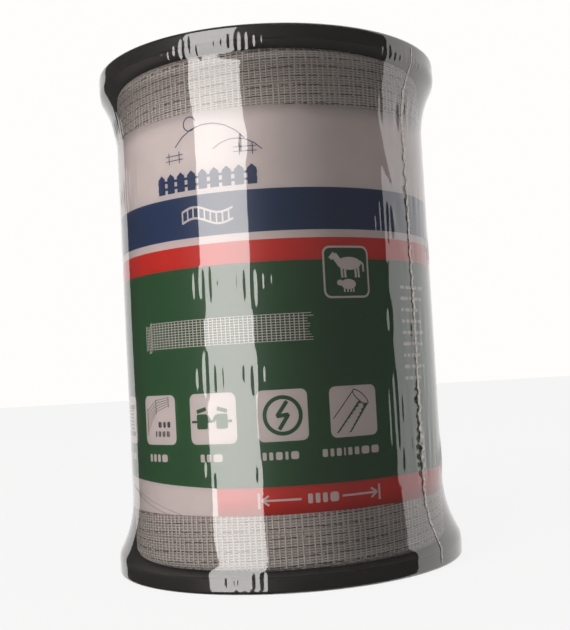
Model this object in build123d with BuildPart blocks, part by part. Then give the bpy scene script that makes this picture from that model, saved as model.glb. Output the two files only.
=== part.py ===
from build123d import *

import os
from math import atan, degrees, sin, sqrt

# Spool of woven electric-fence tape with a printed label, sealed in a shrink-film sleeve.
# Millimetres. +Z runs along the spool's axis, and the origin is the centre of the face that it stands on.

# Tape: 12.5 mm wide, woven, with four steel conductors running along it.
tape_width = 12.5
tape_thickness = 0.6
row_count = 14
row_gap = 0.2
end_play = 0.25
end_trim = 0.6
conductor_count = 4
conductor_size = 0.16
groove_clearance = 0.02
free_end_row = 8
free_end_gap = 18.0

# Winding on the core tube.
winding_radius = 58.6
winding_rounding = 3.5
wrap_gap = 0.05

# Core tube.
tube_radius = 31.0
tube_wall = 2.0
slot_width = 1.8
slot_play = 0.5
slot_angle = 0.0

# Flange moulding: the same part is used at both ends.
flange_radius = 64.75
flange_height = 5.25
web_thickness = 2.0
rim_wall = 2.6
rim_rounding = 1.0
rib_count = 12
rib_angle = 15.0
rib_width = 1.4
rib_drop = 0.75
boss_wall = 4.0
plug_wall = 2.0
plug_length = 14.0
plug_clearance = 0.1
bore_radius = 12.5
hub_wall = 3.0
hub_drop = 0.5
spoke_count = 6
spoke_width = 2.4
spoke_rise = 2.0

# Snap hooks on the plug, in windows of the tube.
hook_count = 4
hook_angle = 45.0
hook_width = 7.0
hook_depth = 9.0
nib_height = 3.0
nib_reach = 1.3
nib_root = 0.5
finger_slit = 1.0
finger_length = 10.0
window_clearance = 0.2

# Adhesive strip over the tape's free end, and the label with its glued lap.
strip_thickness = 0.08
strip_height = 19.0
strip_angle = 50.0
label_thickness = 0.18
label_lower_margin = 18.75
label_upper_margin = 20.25
label_lap_angle = 12.0
label_lap_start = 100.0

# Shrink film: sleeve, necks to the rims, turned-in ends and welded seam.
film_thickness = 0.2
film_neck = 22.5
film_shoulder = 8.0
film_opening = 50.0
seam_angle = -33.0
seam_width_angle = 0.7
seam_height = 0.9

# Tape start, led through the slot and laid along the inside of the tube.
tail_clearance = 0.15
tail_sweep = 35.0
tail_rise = 3.0

# Levels along the axis, from the base up.
winding_length = row_count * tape_width
winding_space = winding_length + 2 * end_play
lower_face = film_thickness + wrap_gap + flange_height
upper_face = lower_face + winding_space
overall_height = upper_face + flange_height + wrap_gap + film_thickness
winding_bottom = lower_face + end_play
winding_top = winding_bottom + winding_length
label_bottom = winding_bottom + label_lower_margin
label_height = winding_length - label_lower_margin - label_upper_margin

# Radii, from the axis out.
tube_bore = tube_radius - tube_wall
plug_radius = tube_bore - plug_clearance
plug_bore = plug_radius - plug_wall
hub_radius = bore_radius + hub_wall
rim_bore = flange_radius - rim_wall
inner_layers_radius = winding_radius - tape_thickness - wrap_gap
strip_bore = winding_radius + wrap_gap / 2
label_bore = strip_bore + strip_thickness + wrap_gap / 2
label_radius = label_bore + label_thickness
film_waist = label_radius + label_thickness + wrap_gap + film_thickness
film_rim = flange_radius + wrap_gap + film_thickness
film_corner = rim_rounding + wrap_gap + film_thickness


def surface_radius(level):
    """Radius of the winding's outside at a level, with its rounded ends."""
    depth = min(level - winding_bottom, winding_top - level)
    if depth >= winding_rounding:
        return winding_radius
    rise = winding_rounding - depth
    return winding_radius - winding_rounding + sqrt(winding_rounding**2 - rise**2)


def wound_section(radius, rounding):
    """Half section of the winding out to a radius, with its outer corners rounded."""
    with BuildSketch(Plane.XZ) as section:
        with Locations((tube_radius + wrap_gap, winding_bottom)):
            Rectangle(radius - tube_radius - wrap_gap, winding_length, align=(Align.MIN, Align.MIN))
        fillet(section.vertices().sort_by(Axis.X)[-2:], rounding)
    return section.sketch


def film_section(inset):
    """Everything from the axis to the film's outer face, with that face moved in by inset."""
    rim, waist = film_rim - inset, film_waist - inset
    bottom, top = inset, overall_height - inset
    corner = film_corner - inset
    lean = 2 * atan((film_rim - film_waist) / film_neck)
    hollow = film_neck / sin(lean) - film_shoulder + inset
    shoulder = film_shoulder - inset
    turn = degrees(lean)
    lower_waist, upper_waist = lower_face + film_neck, upper_face - film_neck
    with BuildSketch(Plane.XZ) as section:
        with BuildLine():
            Line((0, top), (0, bottom))
            Line((0, bottom), (rim - corner, bottom))
            CenterArc((rim - corner, bottom + corner), corner, -90, 90)
            Line((rim, bottom + corner), (rim, lower_face))
            CenterArc((rim - shoulder, lower_face), shoulder, 0, turn)
            CenterArc((waist + hollow, lower_waist), hollow, 180, turn)
            Line((waist, lower_waist), (waist, upper_waist))
            CenterArc((waist + hollow, upper_waist), hollow, 180, -turn)
            CenterArc((rim - shoulder, upper_face), shoulder, 0, -turn)
            Line((rim, upper_face), (rim, top - corner))
            CenterArc((rim - corner, top - corner), corner, 0, 90)
            Line((rim - corner, top), (0, top))
        make_face()
    return section.sketch


# Spool --------------------------------------------------------------------------------------------

# One wedge-shaped nib: square shoulder towards the flange, slope towards the plug's free end.
with BuildPart() as hook_nib:
    with BuildSketch(Plane.XZ):
        with BuildLine():
            Polyline(
                (plug_radius - nib_root, -hook_depth),
                (plug_radius + nib_reach, -hook_depth),
                (plug_radius, -hook_depth - nib_height),
                (plug_radius - nib_root, -hook_depth - nib_height),
                close=True,
            )
        make_face()
    extrude(amount=hook_width / 2, both=True)

# The moulding in its own frame: inner face on XY, outside towards +Z. Each rib ends inside two walls.
rib_start = plug_bore + boss_wall / 2
rib_end = rim_bore + rim_wall / 2

with BuildPart() as flange_moulding:
    with BuildSketch(Plane.XZ):
        with Locations((plug_bore, 0)):
            Rectangle(flange_radius - plug_bore, web_thickness, align=(Align.MIN, Align.MIN))
        with Locations((rim_bore, 0)):
            Rectangle(rim_wall, flange_height, align=(Align.MIN, Align.MIN))
    revolve(axis=Axis.Z)
    rim_edges = flange_moulding.edges().filter_by(GeomType.CIRCLE).sort_by(SortBy.RADIUS)[-2:]
    fillet(rim_edges, rim_rounding)
    with BuildSketch(Plane.XZ):
        with Locations((plug_bore, -plug_length)):
            Rectangle(plug_wall, plug_length, align=(Align.MIN, Align.MIN))
        with Locations((plug_bore, 0)):
            Rectangle(boss_wall, flange_height - rib_drop, align=(Align.MIN, Align.MIN))
        with Locations((bore_radius, -plug_length)):
            Rectangle(hub_wall, plug_length + flange_height - hub_drop, align=(Align.MIN, Align.MIN))
    revolve(axis=Axis.Z)
    with PolarLocations((rib_start + rib_end) / 2, rib_count, start_angle=rib_angle):
        Box(
            rib_end - rib_start,
            rib_width,
            flange_height - rib_drop,
            align=(Align.CENTER, Align.CENTER, Align.MIN),
        )
    with Locations((0, 0, spoke_rise - plug_length)):
        with PolarLocations((hub_radius + plug_bore) / 2, spoke_count):
            Box(
                plug_bore - hub_radius + plug_wall,
                spoke_width,
                plug_length - spoke_rise + web_thickness,
                align=(Align.CENTER, Align.CENTER, Align.MIN),
            )
    with Locations((0, 0, -plug_length)):
        with PolarLocations(0, hook_count, start_angle=hook_angle):
            with Locations((plug_radius - plug_wall / 2, 0)):
                with GridLocations(0, hook_width + finger_slit, 1, 2):
                    Box(
                        2 * plug_wall,
                        finger_slit,
                        finger_length,
                        align=(Align.CENTER, Align.CENTER, Align.MIN),
                        mode=Mode.SUBTRACT,
                    )
    with PolarLocations(0, hook_count, start_angle=hook_angle):
        add(hook_nib.part)

with BuildPart() as upper_flange:
    with Locations((0, 0, upper_face)):
        add(flange_moulding.part)

with BuildPart() as lower_flange:
    with Locations(Location((0, 0, lower_face), (180, 0, 0))):
        add(flange_moulding.part)

window_height = nib_height + 2 * window_clearance
window_level = hook_depth - window_clearance + window_height / 2
slot_level = lower_face + plug_length + tail_rise + tape_width / 2

with BuildPart() as core_tube:
    with BuildSketch(Plane.XY.offset(lower_face)):
        Circle(tube_radius)
        Circle(tube_bore, mode=Mode.SUBTRACT)
    extrude(amount=winding_space)
    with Locations((0, 0, lower_face + window_level), (0, 0, upper_face - window_level)):
        with PolarLocations(tube_radius - tube_wall / 2, hook_count, start_angle=hook_angle):
            Box(2 * tube_wall, hook_width + 2 * window_clearance, window_height, mode=Mode.SUBTRACT)
    with Locations((0, 0, slot_level)):
        with PolarLocations(tube_radius - tube_wall / 2, 1, start_angle=slot_angle):
            Box(2 * tube_wall, slot_width, tape_width + slot_play, mode=Mode.SUBTRACT)

# Tape ---------------------------------------------------------------------------------------------

inner_rounding = winding_rounding - tape_thickness

with BuildPart() as tape_inner_layers:
    with BuildSketch(Plane.XZ):
        add(wound_section(inner_layers_radius, inner_rounding))
    revolve(axis=Axis.Z)

# The outermost layer: one turn a row, and the row with the free end stops short of a full turn.
with BuildPart() as tape_outer_layer:
    for row in range(row_count):
        lower_trim = end_trim if row == 0 else row_gap / 2
        upper_trim = end_trim if row == row_count - 1 else row_gap / 2
        row_bottom = winding_bottom + row * tape_width + lower_trim
        row_height = tape_width - lower_trim - upper_trim
        with BuildSketch(Plane.XZ):
            add(wound_section(winding_radius, winding_rounding))
            add(wound_section(inner_layers_radius + wrap_gap, inner_rounding), mode=Mode.SUBTRACT)
            with Locations((0, row_bottom)):
                Rectangle(winding_radius, row_height, align=(Align.MIN, Align.MIN), mode=Mode.INTERSECT)
            for lane in range(conductor_count):
                level = winding_bottom + (row + (lane + 0.5) / conductor_count) * tape_width
                groove = conductor_size + 2 * groove_clearance
                with Locations((surface_radius(level) - groove, level)):
                    Rectangle(tape_width, groove, align=(Align.MIN, Align.CENTER), mode=Mode.SUBTRACT)
        revolve(axis=Axis.Z, revolution_arc=360 - (free_end_gap if row == free_end_row else 0))

# The conductors of that layer, each in the groove that the weave leaves for it.
with BuildPart() as steel_conductors:
    for row in range(row_count):
        with BuildSketch(Plane.XZ):
            for lane in range(conductor_count):
                level = winding_bottom + (row + (lane + 0.5) / conductor_count) * tape_width
                with Locations((surface_radius(level) - groove_clearance, level)):
                    Rectangle(conductor_size, conductor_size, align=(Align.MAX, Align.CENTER))
        revolve(axis=Axis.Z, revolution_arc=360 - (free_end_gap if row == free_end_row else 0))

# The start of the tape: through the tube's slot, then along the inside of its wall.
tail_radius = tube_bore - tail_clearance - tape_thickness / 2
with BuildPart() as tape_start_tail:
    with BuildSketch(Plane.XY.offset(slot_level - tape_width / 2)):
        with BuildLine() as tail_path:
            PolarLine((tail_radius, 0), tube_radius - tail_radius, angle=0)
            CenterArc((0, 0), tail_radius, 0, tail_sweep)
        trace(tail_path.line, line_width=tape_thickness)
    extrude(amount=tape_width)

# Adhesive strip, centred on the gap that the free end leaves in its row.
with BuildPart() as end_fixing_strip:
    strip_middle = winding_bottom + (free_end_row + 0.5) * tape_width
    strip_start = -(free_end_gap + strip_angle) / 2
    with BuildSketch(Plane.XZ.rotated((0, 0, strip_start))):
        with Locations((strip_bore, strip_middle)):
            Rectangle(strip_thickness, strip_height, align=(Align.MIN, Align.CENTER))
    revolve(axis=Axis.Z, revolution_arc=strip_angle)

# Wrapping -----------------------------------------------------------------------------------------

with BuildPart() as label_wrap:
    with BuildSketch(Plane.XZ):
        with Locations((label_bore, label_bottom)):
            Rectangle(label_thickness, label_height, align=(Align.MIN, Align.MIN))
    revolve(axis=Axis.Z)
    with BuildSketch(Plane.XZ.rotated((0, 0, label_lap_start))):
        with Locations((label_bore, label_bottom)):
            Rectangle(2 * label_thickness, label_height, align=(Align.MIN, Align.MIN))
    revolve(axis=Axis.Z, revolution_arc=label_lap_angle)

with BuildPart() as shrink_film:
    with BuildSketch(Plane.XZ):
        add(film_section(0))
        add(film_section(film_thickness), mode=Mode.SUBTRACT)
        with Locations((0, 0), (0, overall_height - film_thickness)):
            Rectangle(film_opening, film_thickness, align=(Align.MIN, Align.MIN), mode=Mode.SUBTRACT)
    revolve(axis=Axis.Z)
    with BuildSketch(Plane.XZ.rotated((0, 0, seam_angle))):
        add(film_section(-seam_height).rotate(Axis.Z, seam_angle))
        with Locations((0, lower_face)):
            Rectangle(film_rim, winding_space, align=(Align.MIN, Align.MIN), mode=Mode.INTERSECT)
        add(film_section(film_thickness / 2).rotate(Axis.Z, seam_angle), mode=Mode.SUBTRACT)
    revolve(axis=Axis.Z, revolution_arc=seam_width_angle)

sub_parts = {
    "upper_flange": upper_flange,
    "lower_flange": lower_flange,
    "core_tube": core_tube,
    "tape_inner_layers": tape_inner_layers,
    "tape_outer_layer": tape_outer_layer,
    "steel_conductors": steel_conductors,
    "tape_start_tail": tape_start_tail,
    "end_fixing_strip": end_fixing_strip,
    "label_wrap": label_wrap,
    "shrink_film": shrink_film,
}

os.makedirs("parts", exist_ok=True)
for name, sub_part in sub_parts.items():
    sub_part.part.label = name
    export_step(sub_part.part, f"parts/{name}.step")
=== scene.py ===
"""Looks for a shrink-wrapped spool of woven fence tape: spool, tape, printed label, film and studio."""

import logging
from dataclasses import dataclass, field
from enum import Enum

import bpy
import numpy as np
from mathutils import Matrix, Vector


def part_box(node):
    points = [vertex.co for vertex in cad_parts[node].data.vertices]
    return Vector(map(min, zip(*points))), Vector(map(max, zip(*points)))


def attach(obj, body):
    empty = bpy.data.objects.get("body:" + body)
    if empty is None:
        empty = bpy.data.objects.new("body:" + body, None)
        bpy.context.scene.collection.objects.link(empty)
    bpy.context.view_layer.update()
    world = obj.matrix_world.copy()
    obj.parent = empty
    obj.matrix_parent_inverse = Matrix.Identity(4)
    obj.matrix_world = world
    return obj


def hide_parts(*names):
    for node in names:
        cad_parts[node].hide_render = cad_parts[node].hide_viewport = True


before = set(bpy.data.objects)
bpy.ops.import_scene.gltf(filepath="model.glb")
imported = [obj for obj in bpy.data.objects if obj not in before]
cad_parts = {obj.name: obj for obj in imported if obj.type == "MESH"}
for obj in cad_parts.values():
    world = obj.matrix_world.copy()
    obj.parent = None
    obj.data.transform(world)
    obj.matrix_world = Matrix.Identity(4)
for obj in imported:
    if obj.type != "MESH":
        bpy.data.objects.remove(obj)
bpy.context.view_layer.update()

log = logging.getLogger("spool")

MM = 0.001
BODY = "root"
TURN = 2 * np.pi
Grids = tuple[np.ndarray, np.ndarray]
Socket = bpy.types.NodeSocket
Grain = tuple[Socket, Socket]
Halves = tuple[float, float]


# Numbers and colours -------------------------------------------------------------------------------


def linear(code: str) -> tuple[float, float, float, float]:
    """Turn an sRGB hex colour into the linear RGBA that shaders take.

    Args:
        code: Six hex digits, such as "e8dede".

    Returns:
        Linear red, green and blue with an alpha of 1.
    """
    srgb = np.array([int(code[i : i + 2], 16) for i in (0, 2, 4)]) / 255
    rgb = np.where(srgb <= 0.04045, srgb / 12.92, ((srgb + 0.055) / 1.055) ** 2.4)
    return (float(rgb[0]), float(rgb[1]), float(rgb[2]), 1.0)


def node_box(name: str) -> Grids:
    """Lowest and highest corner of a CAD node, in metres."""
    low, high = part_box(name)
    return np.array(low), np.array(high)


def on_cylinder(across: np.ndarray, height: np.ndarray, radius: np.ndarray, layout: float) -> np.ndarray:
    """Wrap a flat layout round the spool.

    A distance across the layout becomes an angle of across / layout from the front, -Y, towards +X.

    Args:
        across: Distance to the right of the front's middle.
        height: Height above the base.
        radius: Distance from the axis of each point.
        layout: Radius at which the layout keeps its own length.

    Returns:
        Points with one more axis, of length 3.
    """
    angle = across / layout
    shape = np.broadcast(angle, height, radius).shape
    points = np.empty(shape + (3,))
    points[..., 0] = radius * np.sin(angle)
    points[..., 1] = -radius * np.cos(angle)
    points[..., 2] = height
    return points


def smooth_noise(
    rng: np.random.Generator, x: np.ndarray, period: float, waves: int, longest: int = 1
) -> np.ndarray:
    """Periodic noise: a sum of sines of whole wave numbers with random phases, about -1 to 1.

    Args:
        rng: Source of the phases.
        x: Where the noise is read.
        period: Length after which it repeats.
        waves: How many wave numbers are summed.
        longest: The lowest wave number.

    Returns:
        One value for each x.
    """
    numbers = longest + np.arange(waves)
    phases = rng.uniform(0, TURN, waves)
    strengths = rng.uniform(0.4, 1.0, waves)
    angles = TURN * np.asarray(x)[..., None] * numbers / period + phases
    return (np.sin(angles) * strengths).sum(-1) / np.sqrt((strengths**2).sum() * 1.5)


# Meshes --------------------------------------------------------------------------------------------


def grid_faces(rows: int, columns: int, wrap: bool = False) -> np.ndarray:
    """Quads of a grid of points stored row by row.

    Args:
        rows: Number of rows.
        columns: Number of points in a row.
        wrap: Whether the last column joins the first.

    Returns:
        Point numbers of each quad.
    """
    last = columns if wrap else columns - 1
    row, column = np.meshgrid(np.arange(rows - 1), np.arange(last), indexing="ij")
    following = (column + 1) % columns
    corners = (row * columns + column, row * columns + following)
    above = ((row + 1) * columns + following, (row + 1) * columns + column)
    return np.stack(corners + above, -1).reshape(-1, 4)


def outwards(points: np.ndarray, faces: np.ndarray) -> np.ndarray:
    """Turn every face round if the signed volume, the sum of a . (b x c) / 6, comes out negative."""
    a, b, c, d = (points[faces[:, k]] for k in range(4))
    volume = (np.cross(b, c) * a).sum() + (np.cross(c, d) * a).sum()
    return faces if volume > 0 else faces[:, ::-1]


def slab(outer: np.ndarray, inner: np.ndarray) -> Grids:
    """Closed shell between two grids of the same size: both skins and the wall round their border.

    Args:
        outer: Points of the outer skin, rows by columns by 3.
        inner: Points of the inner skin.

    Returns:
        Points and quads.
    """
    rows, columns = outer.shape[:2]
    count = rows * columns
    skin = grid_faces(rows, columns)
    number = np.arange(count).reshape(rows, columns)
    border = np.concatenate([number[0], number[1:, -1], number[-1, -2::-1], number[-2:0:-1, 0]])
    after = np.roll(border, -1)
    wall = np.stack([border, border + count, after + count, after], -1)
    points = np.concatenate([outer.reshape(-1, 3), inner.reshape(-1, 3)])
    faces = np.concatenate([skin, skin[:, ::-1] + count, wall])
    return points, outwards(points, faces)


def tubes(paths: np.ndarray, across: np.ndarray, out: np.ndarray, sides: int) -> Grids:
    """Carry an oval section along many paths at once, and close the ends.

    A section's point is path + across * cos(angle) + out * sin(angle).

    Args:
        paths: Centre lines, paths by points by 3.
        across: Half-width vectors, of the same size.
        out: Half-thickness vectors, of the same size.
        sides: Points in a section, an even number.

    Returns:
        Points and quads.
    """
    count, length = paths.shape[:2]
    angle = (np.arange(sides) + 0.5) * TURN / sides
    ring = across[:, :, None] * np.cos(angle)[:, None] + out[:, :, None] * np.sin(angle)[:, None]
    points = paths[:, :, None] + ring
    half = sides // 2
    step = np.arange(half - 1)
    cap = np.stack([step, step + 1, sides - 2 - step, sides - 1 - step], -1)
    one = np.concatenate([grid_faces(length, sides, wrap=True), cap[:, ::-1], cap + (length - 1) * sides])
    faces = one[None] + np.arange(count)[:, None, None] * length * sides
    points, faces = points.reshape(-1, 3), faces.reshape(-1, 4)
    return points, outwards(points, faces)


def joined(parts: list[Grids]) -> Grids:
    """Put several meshes' points and faces together as one mesh."""
    starts = np.cumsum([0] + [len(points) for points, _ in parts[:-1]])
    points = np.concatenate([points for points, _ in parts])
    faces = np.concatenate([faces + start for (_, faces), start in zip(parts, starts)])
    return points, faces


class Shading(Enum):
    """How a piece's faces are shaded."""

    SMOOTH = True
    FLAT = False


def piece(
    name: str,
    mesh_data: Grids,
    material: bpy.types.Material,
    stands_for: tuple[str, ...] = (),
    shading: Shading = Shading.SMOOTH,
) -> bpy.types.Object:
    """Make a mesh object in the row frame, dress it, and fix it to the spool.

    Args:
        name: The piece's name.
        mesh_data: Points in metres, and quads.
        material: Its finish.
        stands_for: CAD nodes that the piece replaces.
        shading: Smooth or flat.

    Returns:
        The new object.
    """
    points, faces = mesh_data
    mesh = bpy.data.meshes.new(name)
    mesh.from_pydata(points.tolist(), [], faces.tolist())
    mesh.polygons.foreach_set("use_smooth", np.full(len(faces), shading.value))
    mesh.validate()
    mesh.materials.append(material)
    made = bpy.data.objects.new(name, mesh)
    bpy.context.scene.collection.objects.link(made)
    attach(made, BODY)
    if stands_for:
        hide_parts(*stands_for)
    log.info("%s: %d faces", name, len(faces))
    return made


# Materials -----------------------------------------------------------------------------------------


def add(
    tree: bpy.types.NodeTree, kind: str, inputs: dict | None = None, **settings: object
) -> bpy.types.Node:
    """Add one shader node.

    Args:
        tree: Node tree that it goes into.
        kind: Blender's name for the node type, without "ShaderNode".
        inputs: Socket name or number, to a constant or to the output socket that feeds it.
        **settings: The node's own properties.

    Returns:
        The new node.
    """
    made = tree.nodes.new("ShaderNode" + kind)
    for key, value in settings.items():
        setattr(made, key, value)
    for key, value in (inputs or {}).items():
        if isinstance(value, Socket):
            tree.links.new(value, made.inputs[key])
        else:
            made.inputs[key].default_value = value
    return made


def new_material(name: str) -> tuple[bpy.types.Material, bpy.types.NodeTree, bpy.types.Node]:
    """Start a material: its datablock, its empty node tree and its output node."""
    material = bpy.data.materials.new(name)
    material.use_nodes = True
    tree = material.node_tree
    tree.nodes.clear()
    return material, tree, add(tree, "OutputMaterial")


def finish_surface(tree: bpy.types.NodeTree, output: bpy.types.Node, shader: bpy.types.Node) -> None:
    """Link a shader to the material's surface."""
    tree.links.new(shader.outputs[0], output.inputs["Surface"])


def noise_mix(
    tree: bpy.types.NodeTree, place: Socket, colours: tuple[str, str], size: float, detail: float
) -> Grain:
    """Noise of a real size, and the mix of two colours that it makes.

    Args:
        tree: The finish's node tree.
        place: Where the noise is read.
        colours: The colours at its lowest and highest.
        size: Size of its coarsest cells, in metres.
        detail: How many finer layers it has.

    Returns:
        The noise's value and the mixed colour.
    """
    noise = add(tree, "TexNoise", {"Vector": place, "Scale": 1 / size, "Detail": detail}).outputs["Fac"]
    low, high = (linear(colour) for colour in colours)
    return noise, add(tree, "MixRGB", {"Fac": noise, "Color1": low, "Color2": high}).outputs["Color"]


def fine_relief(tree: bpy.types.NodeTree, place: Socket, size: float, detail: float, **bump: float) -> Grain:
    """Fine bumps from noise.

    Args:
        tree: The finish's node tree.
        place: Where the noise is read.
        size: Size of its coarsest cells, in metres.
        detail: How many finer layers it has.
        **bump: Strength, and Distance in metres.

    Returns:
        The noise's value and the bent normal.
    """
    noise = add(tree, "TexNoise", {"Vector": place, "Scale": 1 / size, "Detail": detail}).outputs["Fac"]
    return noise, add(tree, "Bump", {"Height": noise, **bump}).outputs["Normal"]


def drifting(tree: bpy.types.NodeTree, place: Socket, colour: object, size: float, spread: float) -> Socket:
    """A colour, or a socket's colour, whose lightness drifts by a spread either way over a real size."""
    noise = add(tree, "TexNoise", {"Vector": place, "Scale": 1 / size, "Detail": 3.0}).outputs["Fac"]
    light = add(tree, "MapRange", {"Value": noise, "To Min": 1 - spread, "To Max": 1 + spread})
    return add(tree, "HueSaturation", {"Color": colour, "Value": light.outputs["Result"]}).outputs["Color"]


@dataclass(frozen=True)
class MouldedPolypropylene:
    """Black recycled polypropylene, injection moulded: near-black, satin, with a faint mould grain."""

    name: str = "moulded_polypropylene_black"
    colour: str = "20201f"
    dusty: str = "353432"
    clouds: float = 12 * MM
    grain: float = 0.35 * MM
    roughness: tuple[float, float] = (0.34, 0.52)
    ior: float = 1.49

    def material(self) -> bpy.types.Material:
        """Build it: cloudy colour and roughness at 12 mm, and a fine bump at the mould's grain."""
        material, tree, output = new_material(self.name)
        place = add(tree, "TexCoord").outputs["Object"]
        clouds, tone = noise_mix(tree, place, (self.colour, self.dusty), self.clouds, 4.0)
        low, high = self.roughness
        rough = add(tree, "MapRange", {"Value": clouds, "To Min": low, "To Max": high}).outputs["Result"]
        normal = fine_relief(tree, place, self.grain, 2.0, Strength=0.25, Distance=0.03 * MM)[1]
        look = {"Base Color": tone, "Roughness": rough, "IOR": self.ior, "Normal": normal}
        shader = add(tree, "BsdfPrincipled", look)
        finish_surface(tree, output, shader)
        return material


@dataclass(frozen=True)
class WovenPolyethylene:
    """White polyethylene monofilament, drawn and woven: milky, with a soft satin sheen."""

    name: str = "woven_polyethylene_white"
    light: str = "efe6e2"
    shade: str = "d9cec8"
    fleck: float = 3.0 * MM
    lines: float = 0.25 * MM
    roughness: float = 0.42
    ior: float = 1.51

    def material(self) -> bpy.types.Material:
        """Build it: yarn colour that drifts over a few millimetres, with fine drawing lines."""
        material, tree, output = new_material(self.name)
        place = add(tree, "TexCoord").outputs["Object"]
        tone = noise_mix(tree, place, (self.light, self.shade), self.fleck, 5.0)[1]
        normal = fine_relief(tree, place, self.lines, 2.0, Strength=0.3, Distance=0.04 * MM)[1]
        look = {"Base Color": tone, "Roughness": self.roughness, "IOR": self.ior, "Normal": normal}
        shader = add(tree, "BsdfPrincipled", look)
        finish_surface(tree, output, shader)
        return material


@dataclass(frozen=True)
class WoundTape:
    """The same tape seen as a wound pack: rows of cloth, with painted shade in the gaps of the open weave."""

    name: str = "wound_tape_pack"
    light: str = "d8cdc8"
    # Painted shade: dark grey that stands in for the shadow between the yarns where the weave is open.
    gap_painted_shade: str = "8f8683"
    warp_pitch: float = 0.9 * MM
    weft_count: float = 188.0

    def material(self) -> bpy.types.Material:
        """Build it: yarns along the winding by height, crossed by weft bars by the angle about the axis, with
        dark grey painted between them as shade.
        """
        material, tree, output = new_material(self.name)
        place = add(tree, "TexCoord").outputs["Object"]
        axes = add(tree, "SeparateXYZ", {"Vector": place})
        turn = add(tree, "Math", {0: axes.outputs["Y"], 1: axes.outputs["X"]}, operation="ARCTAN2")
        weft = add(tree, "Math", {0: turn.outputs[0], 1: self.weft_count}, operation="MULTIPLY")
        weft = add(tree, "Math", {0: weft.outputs[0]}, operation="SINE")
        warp = add(tree, "Math", {0: axes.outputs["Z"], 1: TURN / self.warp_pitch}, operation="MULTIPLY")
        warp = add(tree, "Math", {0: warp.outputs[0]}, operation="SINE")
        cloth = add(tree, "Math", {0: weft.outputs[0], 1: warp.outputs[0]}, operation="MAXIMUM")
        cloudy = add(tree, "TexNoise", {"Vector": place, "Scale": 1 / (5 * MM), "Detail": 4.0})
        height = add(tree, "MapRange", {"Value": cloth.outputs[0], "From Min": -1.0, "From Max": 1.0})
        blend = add(tree, "Math", {0: height.outputs[0], 1: cloudy.outputs["Fac"]}, operation="MULTIPLY_ADD")
        blend.inputs[2].default_value = 0.1
        blend.use_clamp = True
        # Light cloth colour on the yarns, and dark grey painted shade in the gaps between them.
        tone = add(
            tree,
            "MixRGB",
            {"Fac": blend.outputs[0], "Color1": linear(self.gap_painted_shade), "Color2": linear(self.light)},
        )
        bump = add(tree, "Bump", {"Height": height.outputs[0], "Strength": 0.6, "Distance": 0.15 * MM})
        shader = add(
            tree,
            "BsdfPrincipled",
            {"Base Color": tone.outputs["Color"], "Roughness": 0.55, "Normal": bump.outputs["Normal"]},
        )
        finish_surface(tree, output, shader)
        return material


@dataclass(frozen=True)
class DrawnSteelWire:
    """Stainless steel wire, cold drawn: grey metal with lines along it, dull from the drawing die."""

    name: str = "drawn_stainless_wire"
    colour: str = "6f6a68"
    roughness: float = 0.38

    def material(self) -> bpy.types.Material:
        """Build it: plain metal whose roughness varies along the wire."""
        material, tree, output = new_material(self.name)
        place = add(tree, "TexCoord").outputs["Object"]
        marks = add(tree, "TexNoise", {"Vector": place, "Scale": 1 / (0.6 * MM), "Detail": 3.0})
        rough = add(
            tree,
            "MapRange",
            {"Value": marks.outputs["Fac"], "To Min": self.roughness - 0.1, "To Max": self.roughness + 0.1},
        )
        shader = add(
            tree,
            "BsdfPrincipled",
            {"Base Color": linear(self.colour), "Metallic": 1.0, "Roughness": rough.outputs["Result"]},
        )
        finish_surface(tree, output, shader)
        return material


@dataclass(frozen=True)
class PrintedPaper:
    """Coated label paper, offset printed: flat ink bands, crisp at their edges, with a semi-gloss varnish."""

    name: str
    bands: tuple[tuple[float, str], ...]
    bottom: float
    height: float
    roughness: float = 0.38
    cloud: float = 9 * MM
    spread: float = 0.07
    fibre: float = 0.5 * MM

    def material(self) -> bpy.types.Material:
        """Build it: the band is looked up by height, and the ink's density drifts a little."""
        material, tree, output = new_material(self.name)
        place = add(tree, "TexCoord").outputs["Object"]
        axes = add(tree, "SeparateXYZ", {"Vector": place})
        share = add(
            tree,
            "MapRange",
            {"Value": axes.outputs["Z"], "From Min": self.bottom, "From Max": self.bottom + self.height},
        )
        ramp = add(tree, "ValToRGB", {"Fac": share.outputs["Result"]})
        ramp.color_ramp.interpolation = "CONSTANT"
        elements = ramp.color_ramp.elements
        for number, (start, colour) in enumerate(self.bands):
            element = elements[number] if number < 2 else elements.new(start / self.height)
            element.position = start / self.height
            element.color = linear(colour)
        tone = drifting(tree, place, ramp.outputs["Color"], self.cloud, self.spread)
        normal = fine_relief(tree, place, self.fibre, 3.0, Strength=0.15, Distance=0.02 * MM)[1]
        look = {"Base Color": tone, "Roughness": self.roughness, "Normal": normal}
        shader = add(tree, "BsdfPrincipled", look)
        finish_surface(tree, output, shader)
        return material


@dataclass(frozen=True)
class OffsetInk:
    """A second pass of offset ink on the label: the same varnish as the paper, in one colour."""

    name: str
    colour: str
    roughness: float = 0.4
    cloud: float = 6 * MM
    spread: float = 0.06

    def material(self) -> bpy.types.Material:
        """Build it: one ink whose density drifts a little over a few millimetres."""
        material, tree, output = new_material(self.name)
        place = add(tree, "TexCoord").outputs["Object"]
        tone = drifting(tree, place, linear(self.colour), self.cloud, self.spread)
        shader = add(tree, "BsdfPrincipled", {"Base Color": tone, "Roughness": self.roughness})
        finish_surface(tree, output, shader)
        return material


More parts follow.
